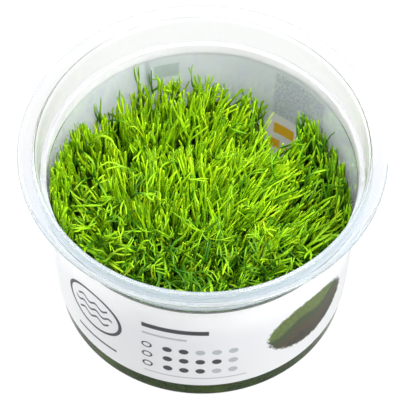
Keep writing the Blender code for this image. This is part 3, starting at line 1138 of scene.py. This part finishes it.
def lay_curls(thicket, plant, chance):
    """Small curly side shoots at the front, some bent right over."""
    x, y = scattered(chance, 46, PLANT_R - 1.0 * MM)
    thick = np.where(y < -13 * MM, 0.75, np.where((x < -16 * MM) & (y < 2 * MM), 0.35, 0.05))
    kept = (chance.uniform(0.0, 1.0, len(x)) < thick) & outside_gap(x, y)
    x, y = x[kept], y[kept]
    deep = chance.uniform(2.0, 7.5, len(x)) * MM
    roots = np.stack((x, y, tip_top(plant, x, y) - deep - 0.7 * hollows(x, y)), axis=1)
    first = aimed(chance.normal(0.0, 0.55, (len(x), 2)) + (0.1, -0.15))
    last = unit(chance.normal(0.0, 1.0, (len(x), 3)) + (0.2, -0.3, 0.1))
    lengths = chance.uniform(6.0, 14.0, len(x)) * MM
    # Painted shade: curls are darker by the front wall and the deeper they start
    thicket.lay(roots, first, last, lengths=lengths, from_root=True, wave=0.16, width=0.72,
                darkening=shade(x, y) * 0.8 + deep / (16 * MM), forked=0.6)


def lay_edge(thicket, plant, chance):
    """The tall fronds at the back and left wall, each by the place of its tip, with two lower mates."""
    tips = np.array(EDGE_TIPS) * MM
    for drop, spread in ((0.0, 0.0), (3.0 * MM, 1.2 * MM), (5.5 * MM, 1.8 * MM)):
        off = chance.normal(0.0, 1.0, tips.shape) * (spread, spread, 0.3 * spread)
        ends = tips - (0.0, 0.0, drop) + off
        inward = -ends[:, :2] / np.linalg.norm(ends[:, :2], axis=1, keepdims=True)
        lean = chance.normal(0.0, 0.10, inward.shape) - inward * 0.06
        lengths = ends[:, 2] - mat_top(plant, ends[:, 0], ends[:, 1]) + 1.0 * MM
        last = aimed(lean + chance.normal(0.0, 0.08, lean.shape))
        thicket.lay(ends, aimed(lean), last, lengths=lengths, wave=0.10, give=0.8 * MM, darkening=0.42,
                    width=0.68)


def frond_green(plant):
    """The fronds: yellow-green young tips, darker older stems, thin enough to let light through. Whole
    fronds are darkened as painted shade by the walls and deeper down.
    """
    material, place = new_material("frond_green")
    growth = place.add("Attribute", {"attribute_name": "growth"}, out="Color")
    along = place.add("SeparateColor", None, {"Color": growth})
    # The blue channel carries each frond's darkening, mostly painted shade
    luck, darkening = along.out("Green"), along.out("Blue")
    patch = place.noise(130.0)
    cells = place.add("TexVoronoi", None, {"Vector": place, "Scale": 2600.0})
    # Painted shade lowers the age, so that shaded fronds take the older colours
    age_and_shade = along * 0.85 + (luck - 0.5) * 0.22 + (patch - 0.5) * 0.30 - darkening * 0.55
    old_tip = along.step(0.70, 1.0) * luck.step(0.62, 0.40)
    green = Tint(place, plant.root_color)
    for mask, color in (
        (age_and_shade.step(0.10, 0.52), plant.stem_color),
        (age_and_shade.step(0.45, 1.0), plant.tip_color),
        (luck.step(0.78, 1.0) * 0.6, (0.60, 0.72, 0.012)),
        (luck.step(0.22, 0.0) * 0.6, (0.05, 0.28, 0.008)),
        (old_tip * 0.68, (0.075, 0.260, 0.004)),
        (cells.step(0.0, 0.5) * 0.25, (0.10, 0.30, 0.004)),
    ):
        green.lay(mask, color)
    gloss = place.add("BsdfPrincipled", None, {
        "Base Color": green.color,
        "Roughness": 0.42 + patch * 0.12,
        "Specular IOR Level": 0.30,
        "Normal": cells.bump(0.15, 0.0002),
    })
    return finished(material, blended(0.42, gloss, green.through))


def mat_green():
    """The mat's own surface: dark, mossy and uneven."""
    material, place = new_material("mat_green")
    tangle = place.noise(420.0, 5.0, Distortion=1.5)
    patch = place.noise(90.0)
    color = tangle.step(0.35, 0.68).mix((0.014, 0.030, 0.004), (0.036, 0.066, 0.010))
    color = (patch.step(0.50, 0.75) * 0.5).mix(color, (0.075, 0.120, 0.012))
    shader = place.add("BsdfPrincipled", None, {
        "Base Color": color, "Roughness": 0.8, "Specular IOR Level": 0.04,
        "Normal": tangle.bump(0.8, 0.001),
    })
    return finished(material, shader)


def mat_plug(name, low, radius):
    """The mat before it swells: a plug that stands round the cup's raised floor, in courses, with
    rings inset into its top."""
    thick = 0.2 * MM
    deselect_all()
    bpy.ops.mesh.primitive_cylinder_add(
        vertices=120, radius=radius, depth=thick, location=(0.0, 0.0, low + thick / 2)
    )
    piece = name_piece(name)
    bpy.ops.object.mode_set(mode="EDIT")
    bpy.ops.mesh.select_mode(type="FACE")
    select_level(lambda face: face.normal.z < 0.0, -thick / 2)
    bpy.ops.mesh.inset(thickness=radius - RING_INNER_R - 0.3 * MM, depth=0.0)
    bpy.ops.mesh.inset(thickness=1.4 * MM, depth=-FOOT_RECESS - FLOOR + RING_FLOOR)
    bpy.ops.mesh.select_all(action="DESELECT")
    select_level(lambda face: face.normal.z > 0.0, thick / 2)
    for rise in MAT_COURSES:
        extrude(rise * MM)
    for _ in range(MAT_RINGS):
        bpy.ops.mesh.inset(thickness=MAT_RING, depth=0.0)
    bpy.ops.mesh.poke()
    bpy.ops.object.mode_set(mode="OBJECT")
    settle(piece)
    return piece


class CRYSTALWORT_OT_mat(bpy.types.Operator):
    """Make the mat's dark core, a plug with a lumpy top that the fronds grow out of"""

    bl_idname = "crystalwort.mat"
    bl_label = "Mat"

    def execute(self, context):
        plant = context.scene.crystalwort_plant
        low = RING_FLOOR + 0.15 * MM
        radius = wall_limit(low)
        piece = mat_plug("mat_core", low, radius)
        points = np.array([vertex.co for vertex in piece.data.vertices])
        lumps = np.array([noise.noise(Vector(point) * 190.0) for point in points])
        share = (points[:, 2] - low) / (points[:, 2].max() - low)
        points[:, 2] = low + share * (mat_top(plant, points[:, 0], points[:, 1]) - low)
        soaked = np.clip((FOOT_TOP - points[:, 2]) / SOAKED_FADE, 0.0, 1.0)
        loose = -0.12 * MM + 0.2 * MM * lumps
        side = wall_limit(points[:, 2]) + loose * (1.0 - soaked) + SOAKED_OUT * soaked
        points[:, 0] *= side / radius
        points[:, 1] *= side / radius
        points[:, 2] += np.where(share > 0.98, 1.6 * MM * lumps, 0.0)
        piece.data.vertices.foreach_set("co", points.ravel())
        piece.data.update()
        bpy.ops.object.shade_smooth()
        piece.data.materials.append(mat_green())
        dress(piece, "crystalwort")
        return {"FINISHED"}


class CRYSTALWORT_OT_fronds(bpy.types.Operator):
    """Grow the thousands of forked fronds, joined in a few pieces"""

    bl_idname = "crystalwort.fronds"
    bl_label = "Fronds"

    def execute(self, context):
        plant = context.scene.crystalwort_plant
        chance = np.random.default_rng(plant.seed)
        left, right, front, low, edge = (Thicket(chance) for _ in range(5))
        # Painted shade: the fronds along the right wall are much darker than those along the left
        lay_wall(edge, plant, chance, 150, start=72.0, end=138.0, darkening=0.70, back=0.55, width=0.90)
        lay_standing((left, right, front), plant, chance)
        lay_curls(front, plant, chance)
        lay_low(low, plant, chance)
        lay_edge(edge, plant, chance)
        lay_wall(edge, plant, chance, 190, start=-124.0, end=-60.0, darkening=0.12, back=0.10, width=0.85,
                 climb=4.0 * MM)
        material = frond_green(plant)
        left.join("fronds_left", material)
        right.join("fronds_right", material)
        front.join("fronds_front", material)
        low.join("fronds_low", material)
        edge.join("fronds_edge", material)
        return {"FINISHED"}


class CRYSTALWORT_OT_stage(bpy.types.Operator):
    """Set up the pale floor, the world, the lights and the camera"""

    bl_idname = "crystalwort.stage"
    bl_label = "Stage"

    def execute(self, context):
        stage = context.scene.crystalwort_stage
        make_floor()
        make_world(context.scene)
        for name, place, width, share in LAMPS:
            make_lamp(name, Vector(place), width, stage.key_power * share)
        make_camera(context.scene, stage)
        context.scene.view_settings.view_transform = "Standard"
        return {"FINISHED"}


def make_floor():
    """A wide white floor that glows evenly, with a dark disc of shade where the cup stands."""
    deselect_all()
    bpy.ops.mesh.primitive_grid_add(
        x_subdivisions=8, y_subdivisions=8, size=FLOOR_SIZE, location=(0.0, 0.0, 0.0)
    )
    floor = name_piece("floor")
    material, place = new_material("floor_white")
    matt, paler = (plain(place, "BsdfDiffuse", (grey, grey, grey)) for grey in (0.90, 0.93))
    matt = blended(place.noise(3.0), matt, paler)
    lit = blended(FLOOR_GLOW, matt, plain(place, "Emission", (1.0, 1.0, 1.0)))
    dark = plain(place, "BsdfDiffuse", (0.03, 0.05, 0.02))
    dark = blended(FLOOR_GLOW, dark, plain(place, "Emission", (0.02, 0.03, 0.01)))
    _, _, radius = from_axis(place)
    shaded = radius.step(40.6 * MM, 40.0 * MM)
    floor.data.materials.append(finished(material, blended(shaded, lit, dark)))


def make_world(scene):
    """A white studio: bright overhead, greyer towards the horizon."""
    world = bpy.data.worlds.new("studio")
    world.use_nodes = True
    world.node_tree.nodes.clear()
    up = Wire(world.node_tree).add("TexCoord", out="Generated").part("Z")
    color = up.step(0.0, 0.42).mix((0.10, 0.11, 0.12), (1.0, 1.0, 1.0))
    background = up.add("Background", None, {"Color": color, "Strength": 1.0})
    up.add("OutputWorld", None, {"Surface": background})
    scene.world = world


def make_lamp(name, place, width, power):
    """A square lamp that shines on the cup."""
    deselect_all()
    bpy.ops.object.light_add(type="AREA", location=place)
    lamp = bpy.context.object
    lamp.name = name
    lamp.data.size = width
    lamp.data.energy = power
    lamp.rotation_euler = (LAMP_AIM - place).to_track_quat("-Z", "Y").to_euler()


def make_camera(scene, stage):
    """The camera at the photograph's angle, in front of the cup."""
    deselect_all()
    aim = Vector((AIM_X, 0.0, AIM_Z))
    back = Vector((0.0, -math.cos(stage.elevation), math.sin(stage.elevation)))
    bpy.ops.object.camera_add(location=aim + back * stage.distance)
    camera = bpy.context.object
    camera.name = "camera"
    camera.rotation_euler = (-back).to_track_quat("-Z", "Y").to_euler()
    camera.rotation_euler.rotate_axis("Z", ROLL)
    camera.data.lens = stage.lens
    camera.data.sensor_width = 36.0
    scene.camera = camera


class CRYSTALWORT_PT_panel(bpy.types.Panel):
    """Sizes and colours, and the pieces to make from them"""

    bl_idname = "CRYSTALWORT_PT_panel"
    bl_label = "Crystalwort cup"
    bl_space_type = "VIEW_3D"
    bl_region_type = "UI"
    bl_category = "Crystalwort"

    def draw(self, context):
        for group in SETTINGS:
            settings = getattr(context.scene, group)
            box = self.layout.box()
            for name in settings.__annotations__:
                box.prop(settings, name)
        for operator in OPERATORS:
            self.layout.operator(operator.bl_idname)


SETTINGS = {
    "crystalwort_cup": CupSettings,
    "crystalwort_label": LabelSettings,
    "crystalwort_plant": PlantSettings,
    "crystalwort_stage": StageSettings,
}
OPERATORS = (
    CRYSTALWORT_OT_cup,
    CRYSTALWORT_OT_label,
    CRYSTALWORT_OT_mat,
    CRYSTALWORT_OT_fronds,
    CRYSTALWORT_OT_stage,
)


def register():
    for kind in (*SETTINGS.values(), *OPERATORS, CRYSTALWORT_PT_panel):
        bpy.utils.register_class(kind)
    for name, kind in SETTINGS.items():
        setattr(bpy.types.Scene, name, PointerProperty(type=kind))


def unregister():
    for name in SETTINGS:
        delattr(bpy.types.Scene, name)
    for kind in (CRYSTALWORT_PT_panel, *reversed(OPERATORS), *reversed(SETTINGS.values())):
        bpy.utils.unregister_class(kind)


def main():
    register()
    bpy.ops.crystalwort.cup()
    bpy.ops.crystalwort.label()
    bpy.ops.crystalwort.mat()
    bpy.ops.crystalwort.fronds()
    bpy.ops.crystalwort.stage()


if __name__ == "__main__":
    main()
